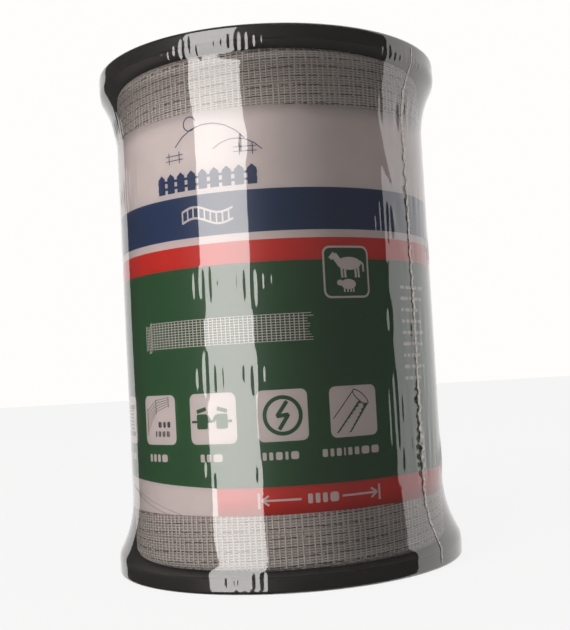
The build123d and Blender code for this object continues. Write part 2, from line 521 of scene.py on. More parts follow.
@dataclass(frozen=True)
class ShrinkFilm:
    """Clear polyolefin shrink film: see-through, with a hard gloss from both faces of each ply.

    The gloss share is the Fresnel share of one face plus a fixed share for the other faces.
    """

    name: str = "clear_shrink_film"
    tint: str = "fbfbfa"
    milk: str = "dcd6d3"
    ior: float = 1.5
    other_faces: float = 0.09
    haze: float = 0.012
    roughness: float = 0.035

    def material(self) -> bpy.types.Material:
        """Build it: see-through, mixed with a little milky haze and with a mirror-like gloss."""
        material, tree, output = new_material(self.name)
        place = add(tree, "TexCoord").outputs["Object"]
        stretch = add(tree, "Mapping", {"Vector": place, "Scale": (1.0, 1.0, 0.2)})
        drawn = add(
            tree,
            "TexNoise",
            {"Vector": stretch.outputs["Vector"], "Scale": 1 / (2.2 * MM), "Detail": 3.0},
        )
        bump = add(tree, "Bump", {"Height": drawn.outputs["Fac"], "Strength": 0.35, "Distance": 0.02 * MM})
        clear = add(tree, "BsdfTransparent", {"Color": linear(self.tint)})
        milky = add(tree, "BsdfDiffuse", {"Color": linear(self.milk)})
        body = add(tree, "MixShader", {0: self.haze, 1: clear.outputs[0], 2: milky.outputs[0]})
        gloss = add(
            tree,
            "BsdfGlossy",
            {"Color": (1.0, 1.0, 1.0, 1.0), "Roughness": self.roughness, "Normal": bump.outputs["Normal"]},
        )
        face = add(tree, "Fresnel", {"IOR": self.ior, "Normal": bump.outputs["Normal"]})
        share = add(tree, "Math", {0: face.outputs[0], 1: self.other_faces}, operation="ADD", use_clamp=True)
        shader = add(tree, "MixShader", {0: share.outputs[0], 1: body.outputs[0], 2: gloss.outputs[0]})
        finish_surface(tree, output, shader)
        return material


@dataclass(frozen=True)
class WeldedFilm:
    """The film's trim seal: plies melted together by a hot wire, so the bead is whitish and half clear."""

    name: str = "welded_film_bead"
    colour: str = "e6dfd8"
    clear_share: float = 0.35
    roughness: float = 0.3

    def material(self) -> bpy.types.Material:
        """Build it: milky plastic, partly see-through where the bead is thin."""
        material, tree, output = new_material(self.name)
        place = add(tree, "TexCoord").outputs["Object"]
        melt = add(tree, "TexNoise", {"Vector": place, "Scale": 1 / (1.5 * MM), "Detail": 3.0})
        bump = add(tree, "Bump", {"Height": melt.outputs["Fac"], "Strength": 0.5, "Distance": 0.1 * MM})
        milky = add(
            tree,
            "BsdfPrincipled",
            {
                "Base Color": linear(self.colour),
                "Roughness": self.roughness,
                "Normal": bump.outputs["Normal"],
            },
        )
        clear = add(tree, "BsdfTransparent")
        share = add(
            tree,
            "MapRange",
            {
                "Value": melt.outputs["Fac"],
                "From Min": 0.35,
                "From Max": 0.65,
                "To Max": 2 * self.clear_share,
            },
        )
        shader = add(tree, "MixShader", {0: share.outputs[0], 1: milky.outputs[0], 2: clear.outputs[0]})
        finish_surface(tree, output, shader)
        return material


@dataclass(frozen=True)
class PackingTape:
    """Clear polypropylene packing tape: thin, glossy and slightly yellow from its glue."""

    name: str = "packing_tape"
    colour: str = "d9d2bd"

    def material(self) -> bpy.types.Material:
        """Build it: a glossy coat over glue that is mottled at 4 mm."""
        material, tree, output = new_material(self.name)
        place = add(tree, "TexCoord").outputs["Object"]
        glue = add(tree, "TexNoise", {"Vector": place, "Scale": 1 / (4 * MM)})
        light = add(tree, "MapRange", {"Value": glue.outputs["Fac"], "To Min": 0.9, "To Max": 1.1})
        tone = add(tree, "HueSaturation", {"Color": linear(self.colour), "Value": light.outputs["Result"]})
        shader = add(tree, "BsdfPrincipled", {"Base Color": tone.outputs["Color"], "Roughness": 0.15})
        finish_surface(tree, output, shader)
        return material


# Spool ---------------------------------------------------------------------------------------------


@dataclass
class Spool:
    """The moulded flanges, the core tube and what stays as it was built in CAD."""

    plastic: MouldedPolypropylene = field(default_factory=MouldedPolypropylene)
    pack: WoundTape = field(default_factory=WoundTape)
    yarn: WovenPolyethylene = field(default_factory=WovenPolyethylene)
    strip: PackingTape = field(default_factory=PackingTape)

    def dress(self) -> None:
        """Give each CAD node that stays visible its finish."""
        plastic = self.plastic.material()
        finishes = {
            "upper_flange": plastic,
            "lower_flange": plastic,
            "core_tube": plastic,
            "tape_inner_layers": self.pack.material(),
            "tape_start_tail": self.yarn.material(),
            "end_fixing_strip": self.strip.material(),
        }
        for name, material in finishes.items():
            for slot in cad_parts[name].material_slots:
                slot.material = material
            log.info("%s: %s", name, material.name)


# Tape ----------------------------------------------------------------------------------------------


@dataclass
class WovenTape:
    """The outermost layer of tape, woven yarn by yarn where it shows, plain where the label covers it.

    A place on the tape is its turn, counted along the helix, and its share across the width. The
    height is bottom + width * (turn + share - 1), and the radius follows the winding's rounded ends.
    """

    bottom: float
    top: float
    radius: float
    label_bottom: float
    label_top: float
    width: float = 12.5 * MM
    rounding: float = 3.5 * MM
    warps: int = 14
    conductors: int = 4
    wefts: int = 188
    samples: int = 3
    under_label: float = 1.5 * MM
    warp_half: Halves = (0.33 * MM, 0.1 * MM)
    weft_half: Halves = (0.36 * MM, 0.13 * MM)
    wire_half: Halves = (0.15 * MM, 0.1 * MM)
    band_half: Halves = (6.6 * MM, 0.27 * MM)
    seed: int = 11

    def surface(self, height: np.ndarray) -> np.ndarray:
        """Radius of the winding at a height: radius - c + sqrt(c^2 - (c - depth)^2) near each end."""
        depth = np.clip(np.minimum(height - self.bottom, self.top - height), 0, self.rounding)
        rise = self.rounding - depth
        return self.radius - self.rounding + np.sqrt(self.rounding**2 - rise**2)

    def place(self, turn: np.ndarray, share: np.ndarray, lift: np.ndarray) -> np.ndarray:
        """Point on the tape, lifted off the winding's surface towards the outside."""
        height = self.bottom + self.width * (turn + share - 1)
        height = height + 0.35 * MM * np.sin(TURN * turn * 1.37 + share * 2) * np.sin(TURN * turn * 3)
        height = np.clip(height, self.bottom + 0.15 * MM, self.top - 0.15 * MM)
        return on_cylinder(TURN * turn, height, self.surface(height) + lift, 1.0)

    def directions(self, paths: np.ndarray) -> Grids:
        """Unit vectors across each path and out of the winding."""
        along = np.gradient(paths, axis=1)
        along /= np.linalg.norm(along, axis=-1, keepdims=True) + 1e-12
        out = paths * np.array([1, 1, 0])
        out /= np.linalg.norm(out, axis=-1, keepdims=True)
        ends = np.minimum(paths[..., 2] - self.bottom, self.top - paths[..., 2])
        lean = np.clip(1 - ends / self.rounding, 0, 1)
        sign = np.where(paths[..., 2] > (self.bottom + self.top) / 2, 1.0, -1.0)
        out[..., 2] += lean * sign
        across = np.cross(out, along)
        across /= np.linalg.norm(across, axis=-1, keepdims=True) + 1e-12
        out = np.cross(along, across)
        return across, out

    def lengthways(self, shares: np.ndarray, low: float, high: float, samples: int) -> Grids:
        """Turn and share of yarns that run along the tape, cut where they leave a range of heights.

        Args:
            shares: Where each yarn lies across the width.
            low: Lowest height.
            high: Highest height.
            samples: Points for each weft that the yarn crosses.

        Returns:
            Turns and shares, yarns by points.
        """
        turns = (high - low) / self.width
        count = int(turns * self.wefts * samples)
        start = (low - self.bottom) / self.width + 1 - shares
        turn = start[:, None] + np.linspace(0, turns, count)[None]
        return turn, np.broadcast_to(shares[:, None], turn.shape)

    def warp_mesh(self, low: float, high: float) -> Grids:
        """Warp yarns: flat ovals that wave over and under the wefts, neighbours in opposite phase."""
        shares = (np.arange(self.warps) + 0.5) / self.warps
        turn, share = self.lengthways(shares, low, high, self.samples)
        phase = np.pi * np.arange(self.warps)[:, None]
        lift = -0.3 * MM + 0.12 * MM * np.cos(np.pi * self.wefts * turn + phase)
        paths = self.place(turn, share, lift)
        across, out = self.directions(paths)
        return tubes(paths, across * self.warp_half[0], out * self.warp_half[1], 4)

    def weft_mesh(self, low: float, high: float) -> Grids:
        """Weft bars: flat ovals across the tape, one for each weft pitch, cut to a range of heights."""
        first = (low - self.bottom) / self.width
        last = (high - self.bottom) / self.width + 1
        turn = np.arange(int(first * self.wefts), int(last * self.wefts)) / self.wefts
        start = np.clip((low - self.bottom) / self.width + 1 - turn, 0, 1)
        end = np.clip((high - self.bottom) / self.width + 1 - turn, 0, 1)
        kept = end - start > 0.04
        turn, start, end = turn[kept], start[kept], end[kept]
        rng = np.random.default_rng(self.seed)
        lean = rng.normal(0, 0.0006, len(turn))[:, None]
        step = np.linspace(0, 1, 12)[None]
        share = start[:, None] + (end - start)[:, None] * step
        lift = -0.16 * MM + 0.04 * MM * np.cos(np.pi * self.warps * share)
        paths = self.place(turn[:, None] + lean * (share - 0.5), share, lift)
        across, out = self.directions(paths)
        return tubes(paths, across * self.weft_half[0], out * self.weft_half[1], 6)

    def wire_mesh(self, low: float, high: float, samples: int) -> Grids:
        """Steel conductors: they pass over three or so wefts at a time, then dive under the next."""
        shares = (np.arange(self.conductors) + 0.5) / self.conductors
        turn, share = self.lengthways(shares, low, high, samples)
        rng = np.random.default_rng(self.seed + 1)
        phase = rng.uniform(0, TURN, (len(shares), 1))
        wave = np.sin(turn * TURN * 67 + phase) + 0.6 * np.sin(turn * TURN * 23 + 2 * phase)
        lift = -0.18 * MM + 0.16 * MM * np.tanh(2 * wave)
        share = share + 0.012 * np.sin(turn * TURN * 9 + phase)
        paths = self.place(turn, share, lift)
        across, out = self.directions(paths)
        return tubes(paths, across * self.wire_half[0], out * self.wire_half[1], 4)

    def covered_mesh(self) -> Grids:
        """The rows under the label: one flat band along the helix, 0.5 mm thick."""
        low, high = self.label_bottom + self.under_label, self.label_top - self.under_label
        centre = (low - self.bottom) / self.width + 0.5
        turns = (high - low) / self.width
        turn = centre + np.linspace(0, turns, int(turns * 90))[None]
        paths = self.place(turn, np.full_like(turn, 0.5), np.full_like(turn, -0.35 * MM))
        across, out = self.directions(paths)
        return tubes(paths, across * self.band_half[0], out * self.band_half[1], 8)

    def build(self) -> None:
        """Make the yarns, wires and covered rows."""
        yarn = WovenPolyethylene(name="woven_polyethylene_tape").material()
        wire = DrawnSteelWire().material()
        visible = {
            "lower": (self.bottom, self.label_bottom + self.under_label),
            "upper": (self.label_top - self.under_label, self.top),
        }
        for end, (low, high) in visible.items():
            piece(f"tape_warp_yarns_{end}", self.warp_mesh(low, high), yarn)
            piece(f"tape_weft_bars_{end}", self.weft_mesh(low, high), yarn)
        covered = WoundTape(name="wound_tape_covered").material()
        piece("tape_rows_under_label", self.covered_mesh(), covered, ("tape_outer_layer",))
        wires = [self.wire_mesh(low, high, 4) for low, high in visible.values()]
        middle = self.wire_mesh(visible["lower"][1], visible["upper"][0], 1)
        piece("conductor_wires", joined(wires + [middle]), wire, ("steel_conductors",))


# Label ---------------------------------------------------------------------------------------------


class Ink(Enum):
    """The inks of the label's second pass, with their colours."""

    WHITE = "e9dddc"
    GREEN = "2c6437"
    NAVY = "2c3f6d"
    GREY = "4c4a4c"


def rounded_panel(left: float, bottom: float, width: float, height: float, corner: float) -> Grids:
    """Rectangle with round corners, as columns between a lower and an upper edge.

    At a distance x from its middle, half its height is h / 2 - c + sqrt(c^2 - max(0, x - w / 2 + c)^2).
    """
    step = (1 - np.cos(np.linspace(0, np.pi / 2, 7))) * corner
    middle = np.linspace(corner, width - corner, max(2, int(width / 1.0)))[1:-1]
    x = np.concatenate([step, middle, width - step[::-1]])
    beyond = np.clip(np.abs(x - width / 2) - width / 2 + corner, 0, corner)
    half = height / 2 - corner + np.sqrt(corner**2 - beyond**2)
    rows = np.linspace(-1, 1, 3)[:, None]
    return left + np.broadcast_to(x, (3, len(x))), bottom + height / 2 + rows * half


def oval(across: float, height: float, half_width: float, half_height: float) -> Grids:
    """Ellipse, as columns between its lower and upper half."""
    angle = np.linspace(0.02, np.pi - 0.02, 17)
    rows = np.linspace(-1, 1, 3)[:, None]
    x = across - half_width * np.cos(angle)
    return np.broadcast_to(x, (3, 17)), height + rows * half_height * np.sin(angle)


def stroke(points: list[tuple[float, float]], width: float, closed: bool = False) -> Grids:
    """Line of even width through some points, cut every millimetre so that it can bend round the spool.

    Args:
        points: Corners of the line, across and up, in millimetres.
        width: Its width.
        closed: Whether it runs back to its first point.

    Returns:
        Two rows of points, along its right and left edges.
    """
    line = np.array(points + points[:1] if closed else points, float)
    lengths = np.concatenate([[0], np.cumsum(np.linalg.norm(np.diff(line, axis=0), axis=1))])
    marks = np.union1d(np.linspace(0, lengths[-1], int(lengths[-1]) + 2), lengths)
    fine = np.stack([np.interp(marks, lengths, line[:, k]) for k in (0, 1)], -1)
    along = np.gradient(fine, axis=0)
    if closed:
        along[0] = along[-1] = fine[1] - fine[-2]
    along /= np.linalg.norm(along, axis=1, keepdims=True)
    side = np.stack([along[:, 1], -along[:, 0]], -1) * width / 2
    edges = np.stack([fine + side, fine - side])
    return edges[..., 0], edges[..., 1]


def arc(across: float, height: float, radius: float, start: float, end: float) -> list[tuple[float, float]]:
    """Points along part of a circle, with angles in degrees."""
    angle = np.radians(np.linspace(start, end, max(3, int(abs(end - start) / 12))))
    return list(zip(across + radius * np.cos(angle), height + radius * np.sin(angle)))


def between(x: np.ndarray, low: np.ndarray, high: np.ndarray) -> Grids:
    """Area between two edges over the same columns."""
    rows = np.linspace(0, 1, 3)[:, None]
    return np.broadcast_to(x, (3, len(x))), low + rows * (high - low)


@dataclass
class Artwork:
    """What is printed on the label's bands, laid out flat in millimetres from the front's middle.

    The pictograms are plain ones made for this part, and blocks stand where words would be.
    """

    patches: dict[Ink, list[tuple[int, Grids]]] = field(default_factory=dict)

    def draw(self, ink: Ink, patch: Grids, layer: int = 1) -> None:
        """Add a patch of ink, on a layer that is 1 on the paper and 2 on other ink."""
        self.patches.setdefault(ink, []).append((layer, patch))

    def blocks(self, ink: Ink, left: float, bottom: float, height: float, widths: list[float]) -> None:
        """A row of plain blocks, 0.9 mm apart, in place of a word or a number."""
        for width in widths:
            self.draw(ink, rounded_panel(left, bottom, width, height, 0.3 * min(width, height)))
            left += width + 0.9

    def icon_row(self) -> None:
        """White panels in the green band, each with its pictogram and a row of blocks under it."""
        for left, width in ((-84.0, 17.3), (-57.9, 17.6), (-33.6, 17.4), (-9.2, 16.9), (15.2, 17.5)):
            self.draw(Ink.WHITE, rounded_panel(left, 48.3, width, 17.0, 2.2))
        self.blocks(Ink.WHITE, -80.0, 42.4, 2.5, [1.6, 1.6, 1.6, 2.6])
        self.blocks(Ink.WHITE, -55.8, 42.4, 2.6, [1.6, 1.6, 1.6, 3.0])
        self.blocks(Ink.WHITE, -30.2, 42.4, 2.6, [1.6, 1.6, 3.4])
        self.blocks(Ink.WHITE, -8.0, 42.3, 2.6, [1.3, 1.3, 2.2, 1.0, 2.6])
        self.blocks(Ink.WHITE, 11.9, 42.3, 2.6, [1.8, 1.3, 1.7, 0.6, 1.5, 1.7, 3.0, 3.0])

    def reel_pictogram(self) -> None:
        """First panel: a small reel seen from its side."""
        self.draw(Ink.GREEN, rounded_panel(-81.5, 60.6, 12.5, 1.6, 0.6), 2)
        self.draw(Ink.GREEN, rounded_panel(-81.5, 51.0, 12.5, 1.6, 0.6), 2)
        for level in np.arange(53.6, 60.2, 1.3):
            self.draw(Ink.GREEN, stroke([(-79.6, level), (-70.9, level)], 0.6), 2)

    def fence_pictogram(self) -> None:
        """Second panel: posts that recede to the right, with wires between them."""
        posts = ((-56.3, 51.6, 60.8), (-50.6, 58.9, 64.0), (-43.6, 61.2, 64.8))
        for across, low, high in posts:
            self.draw(Ink.GREY, stroke([(across, low), (across, high)], 0.3), 2)
        for share in np.linspace(0.16, 0.92, 5):
            line = [(across, low + share * (high - low)) for across, low, high in posts]
            self.draw(Ink.GREY, stroke(line, 0.16), 2)
        self.blocks(Ink.GREY, -49.6, 54.2, 2.0, [1.9, 1.3, 1.5])
        self.blocks(Ink.GREY, -51.4, 51.0, 2.0, [0.8, 1.4, 1.5, 1.4])

    def pull_pictogram(self) -> None:
        """Third panel: a cord between two clamps that pull it apart."""
        for left, right, turn in ((-32.8, -24.9, 1), (-25.4, -17.4, -1)):
            middle = (left + right) / 2
            self.draw(Ink.GREEN, rounded_panel(middle - 2.1, 53.4, 4.2, 5.0, 0.7), 2)
            self.draw(Ink.GREEN, stroke([(middle - 2.0 * turn, 59.2), (middle + 1.6 * turn, 60.2)], 1.3), 2)
            self.draw(Ink.GREEN, stroke([(middle + turn * 2.0, 57.9), (middle + turn * 3.2, 55.8)], 1.1), 2)
        for left in (-33.0, -27.3, -20.2):
            self.draw(Ink.GREY, stroke([(left, 55.9), (left + 2.4, 55.9)], 0.8), 2)

    def bolt_pictogram(self) -> None:
        """Fourth panel: a ring with a zigzag bolt."""
        ring = arc(-0.7, 56.8, 6.0, 0, 348)
        self.draw(Ink.GREEN, stroke(ring, 1.3, closed=True), 2)
        bolt = [(0.9, 61.4), (-2.6, 56.6), (1.2, 57.0), (-2.0, 52.2)]
        self.draw(Ink.GREEN, stroke(bolt, 1.3), 2)

    def wire_pictogram(self) -> None:
        """Fifth panel: a length of round wire, cut square, with one side in shade."""
        rise = np.linspace(0, 1, 9)
        left = 17.2 + 8.4 * rise
        right = 22.4 + 7.0 * rise
        height = 49.8 + 10.2 * rise
        self.draw(Ink.GREEN, (np.stack([left, right]), np.stack([height, height - 1.0 * rise])), 2)
        self.draw(Ink.GREY, stroke([(16.2, 54.6), (23.6, 63.3)], 0.35), 2)
        turn = np.linspace(0, TURN, 25)[:-1]
        x = 26.6 + 3.7 * np.cos(turn) * 0.75 + 1.25 * np.sin(turn) * 0.66
        y = 61.3 - 3.7 * np.cos(turn) * 0.66 + 1.25 * np.sin(turn) * 0.75
        self.draw(Ink.GREY, stroke(list(zip(x, y)), 0.35, closed=True), 2)

    def tape_drawing(self) -> None:
        """A length of woven tape across the green band, with a folded end and a frayed end."""
        rng = np.random.default_rng(5)
        for level in np.linspace(81.3, 90.2, 11):
            end = 8.6 + rng.uniform(0.6, 2.8)
            self.draw(Ink.WHITE, stroke([(-51.0, level), (end, level)], 0.22))
        for across in np.arange(-51.0, 9.0, 1.55):
            self.draw(Ink.WHITE, stroke([(across, 81.2), (across, 90.3)], 0.3))
        self.draw(Ink.WHITE, stroke([(-51.0, 90.6), (-51.6, 90.2), (-51.6, 80.4), (-53.0, 80.2)], 0.4))
        for across, low, high in ((-52.6, 80.4, 89.0), (-53.6, 81.0, 89.4), (-54.6, 80.9, 89.6)):
            self.draw(Ink.WHITE, stroke([(across, low), (across, high)], 0.3))
        for level in np.linspace(81.6, 89.2, 9):
            self.draw(Ink.WHITE, stroke([(-54.6, level), (-51.6, level)], 0.16))

    def animal_panel(self) -> None:
        """A framed panel over the red and green bands, with a grazing animal and a smaller one."""
        self.draw(Ink.WHITE, rounded_panel(15.5, 94.7, 17.4, 17.7, 2.6))
        self.draw(Ink.GREEN, rounded_panel(16.2, 95.4, 16.0, 16.3, 2.0), 2)
        self.draw(Ink.WHITE, oval(25.2, 106.4, 4.6, 2.2), 3)
        self.draw(Ink.WHITE, stroke([(21.6, 106.6), (19.6, 109.4)], 2.2), 3)
        self.draw(Ink.WHITE, stroke([(19.9, 109.8), (18.2, 108.0)], 1.5), 3)
        for foot in (22.2, 23.4, 27.4, 28.6):
            self.draw(Ink.WHITE, stroke([(foot, 105.4), (foot + 0.2, 101.6)], 0.8), 3)
        self.draw(Ink.WHITE, stroke([(29.3, 107.2), (30.6, 106.2), (30.7, 103.6)], 0.7), 3)
        self.draw(Ink.WHITE, oval(24.6, 99.4, 2.8, 1.7), 3)
        self.draw(Ink.WHITE, oval(21.4, 99.9, 1.1, 1.0), 3)
        for foot in (23.0, 24.2, 25.4, 26.4):
            self.draw(Ink.WHITE, stroke([(foot, 98.6), (foot, 96.7)], 0.6), 3)

    def field_drawing(self) -> None:
        """Above the navy band: a line drawing of a hill with a sun, and a picket fence below it."""
        self.draw(Ink.NAVY, stroke(arc(-21.5, 139.6, 16.5, 38, 142), 0.35))
        self.draw(Ink.NAVY, stroke(arc(-12.0, 138.0, 12.0, 40, 130), 0.3))
        self.draw(Ink.NAVY, stroke(arc(-28.2, 156.9, 2.4, 20, 330), 0.35))
        for across in (-37.5, -33.0, -10.5, -6.0):
            self.draw(Ink.NAVY, stroke([(across, 144.2), (across, 148.2)], 0.3))
        for low, high in ((-39.0, -31.5), (-12.5, -4.6)):
            for level in (145.4, 147.0):
                self.draw(Ink.NAVY, stroke([(low, level), (high, level)], 0.25))
        x = np.array([-1.6, 0.0, 1.6])
        for across in np.linspace(-41.6, -6.6, 9):
            top = np.array([139.6, 141.0, 139.6])
            self.draw(Ink.NAVY, between(across + x, np.full(3, 134.2), top))
        for level in (136.0, 138.4):
            self.draw(Ink.NAVY, stroke([(-43.4, level), (-4.8, level)], 0.9))

    def ribbon_drawing(self) -> None:
        """On the navy band: a waving piece of tape."""
        x = np.linspace(-32.8, -13.8, 27)
        wave = 125.1 + 1.3 * np.sin((x + 32.8) / 19.0 * TURN)
        for offset in (-1.9, 1.9):
            self.draw(Ink.WHITE, stroke(list(zip(x, wave + offset)), 0.75))
        for column in range(0, 27, 3):
            low, high = wave[column] - 2.1, wave[column] + 2.1
            self.draw(Ink.WHITE, stroke([(x[column], low), (x[column], high)], 0.6))

    def size_arrow(self) -> None:
        """On the lower red band: a measuring arrow between two end marks."""
        for across in (-10.0, 32.0):
            self.draw(Ink.WHITE, stroke([(across, 26.6), (across, 31.8)], 0.8))
        for left, right in ((-8.6, 4.0), (18.0, 30.6)):
            self.draw(Ink.WHITE, stroke([(left, 29.2), (right, 29.2)], 0.7))
        for across, side in ((-8.9, 1), (30.9, -1)):
            head = [(across + 2.2 * side, 30.8), (across, 29.2), (across + 2.2 * side, 27.6)]
            self.draw(Ink.WHITE, stroke(head, 0.7))
        self.blocks(Ink.WHITE, 6.2, 27.6, 3.2, [1.6, 1.6, 1.6, 3.0])

    def corner_sweep(self, bottom: float) -> None:
        """Lower left: a white corner under the green band, with a green sweep across it."""
        x = np.linspace(-118.0, -24.5, 90)
        self.draw(Ink.WHITE, between(x, np.full(90, bottom + 0.05), 33.7 - 0.0509 * (x + 24.5)))
        t = np.linspace(0, 1, 40)
        height = bottom + 0.1 + 9.0 * t
        right = -39.4 - 38.6 * t**1.05
        left = -45.9 - 32.1 * t**0.8
        self.draw(Ink.GREEN, (np.stack([left, right]), np.stack([height, height])), 2)

    def back_panels(self) -> None:
        """Round the back: columns of blocks in place of instructions, and one bare panel."""
        rng = np.random.default_rng(8)
        for left in (48.0, 82.0, 112.0, -172.0):
            for line in range(9):
                widths = list(rng.uniform(1.2, 5.0, 4))
                self.blocks(Ink.WHITE, left, 98.0 - 4.0 * line, 1.2, widths)
        self.draw(Ink.WHITE, rounded_panel(112.0, 42.0, 34.0, 20.0, 1.5))
        self.draw(Ink.WHITE, rounded_panel(-128.0, 42.0, 30.0, 26.0, 1.5))

    def compose(self, bottom: float) -> None:
        """Draw everything."""
        self.icon_row()
        self.reel_pictogram()
        self.fence_pictogram()
        self.pull_pictogram()
        self.bolt_pictogram()
        self.wire_pictogram()
        self.tape_drawing()
        self.animal_panel()
        self.field_drawing()
        self.ribbon_drawing()
        self.size_arrow()
        self.corner_sweep(bottom)
        self.back_panels()


@dataclass
class PrintedLabel:
    """The paper label: a closed sheet wound once round the tape, with its ends lapped at the back."""

    bottom: float
    top: float
    radius: float
    paper: float = 0.16 * MM
    ink: float = 0.012 * MM
    layer_step: float = 0.03 * MM
    lap: float = 12.0
    lap_start: float = 190.0
    layout: float = 59.0 * MM
    bands: tuple[tuple[float, str], ...] = (
        (0.0, "e0281a"),
        (8.7 * MM, "2c6437"),
        (83.1 * MM, "e0281a"),
        (90.4 * MM, "e9dddc"),
        (93.1 * MM, "26406f"),
        (107.5 * MM, "e9dddc"),
    )

    def sheet_mesh(self) -> Grids:
        """The sheet: its radius grows by the paper's thickness over the lap, and it waves very slightly."""
        start = self.lap_start - 360
        angle = np.linspace(start, self.lap_start + self.lap, 420)
        over = np.clip((angle - self.lap_start + 2) / 4, 0, 1)
        climb = over * over * (3 - 2 * over) * 1.2 * self.paper
        rng = np.random.default_rng(3)
        wave = 0.02 * MM * smooth_noise(rng, angle, 360.0, 9)
        height = np.linspace(self.bottom, self.top, 24)[:, None]
        radius = (self.radius + climb + wave)[None] + 0 * height
        across = np.radians(angle)[None] + 0 * height
        outer = on_cylinder(across, height, radius, 1.0)
        inner = on_cylinder(across, height, radius - self.paper, 1.0)
        return slab(outer, inner)

    def print_mesh(self, patches: list[tuple[int, Grids]]) -> Grids:
        """Patches of ink as thin closed slabs, each layer lying just over the one below."""
        parts = []
        for layer, (across, height) in patches:
            lower = self.radius + layer * self.layer_step
            shape = np.full(across.shape, lower)
            outer = on_cylinder(across * MM, height * MM, shape + self.ink, self.layout)
            inner = on_cylinder(across * MM, height * MM, shape, self.layout)
            parts.append(slab(outer, inner))
        return joined(parts)

    def build(self) -> None:
        """Make the sheet and one piece for each ink."""
        paper = PrintedPaper("offset_printed_label_paper", self.bands, self.bottom, self.top - self.bottom)
        piece("label_sheet", self.sheet_mesh(), paper.material(), ("label_wrap",))
        artwork = Artwork()
        artwork.compose(self.bottom / MM)
        for ink, patches in artwork.patches.items():
            name = ink.name.lower()
            finish = OffsetInk(f"offset_ink_{name}", ink.value).material()
            piece(f"label_print_{name}", self.print_mesh(patches), finish, (), Shading.FLAT)


# Film ----------------------------------------------------------------------------------------------


@dataclass(frozen=True)
class WrinkleGroup:
    """Small upright wrinkles side by side, each a lens that tapers to both ends. Millimetres."""

    across: float
    height: float
    count: int
    pitch: float
    length: float
    depth: float = 0.2


